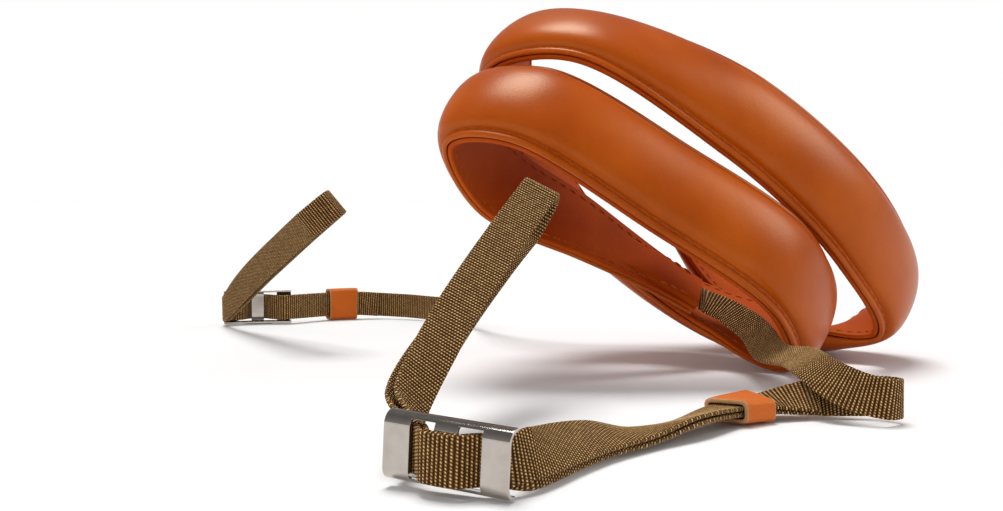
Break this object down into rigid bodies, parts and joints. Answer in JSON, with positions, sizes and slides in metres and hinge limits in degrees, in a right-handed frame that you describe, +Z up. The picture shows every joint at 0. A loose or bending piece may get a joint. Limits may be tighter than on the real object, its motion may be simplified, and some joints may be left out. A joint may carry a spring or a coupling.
{
  "type": "coiled camera strap",
  "caption": "Padded leather camera strap coiled on a surface, with a woven webbing tail, a leather keeper and a metal slider at each end, ending in lug loops.",
  "frame": {"origin": "middle of the footprint, on the surface that the strap rests on", "axes": "+Z up from the surface, +Y away from the viewer of the picture along the longest extent, +X to the viewer's right"},
  "size_m": [0.2472, 0.307, 0.1108],
  "materials": {
    "face_leather": "smooth tan leather with a soft sheen",
    "back_leather": "matt red-brown leather",
    "keeper_leather": "smooth tan leather with pale raw edges",
    "webbing": "coarse twisted olive-brown weave",
    "nickel": "satin nickel plate"
  },
  "bodies": {
    "root": {"pad_face": "face_leather", "pad_back": "back_leather", "near_webbing": "webbing", "near_keeper": "keeper_leather", "near_slider": "nickel", "far_webbing": "webbing", "far_keeper": "keeper_leather", "far_slider": "nickel"}
  },
  "joints": []
}
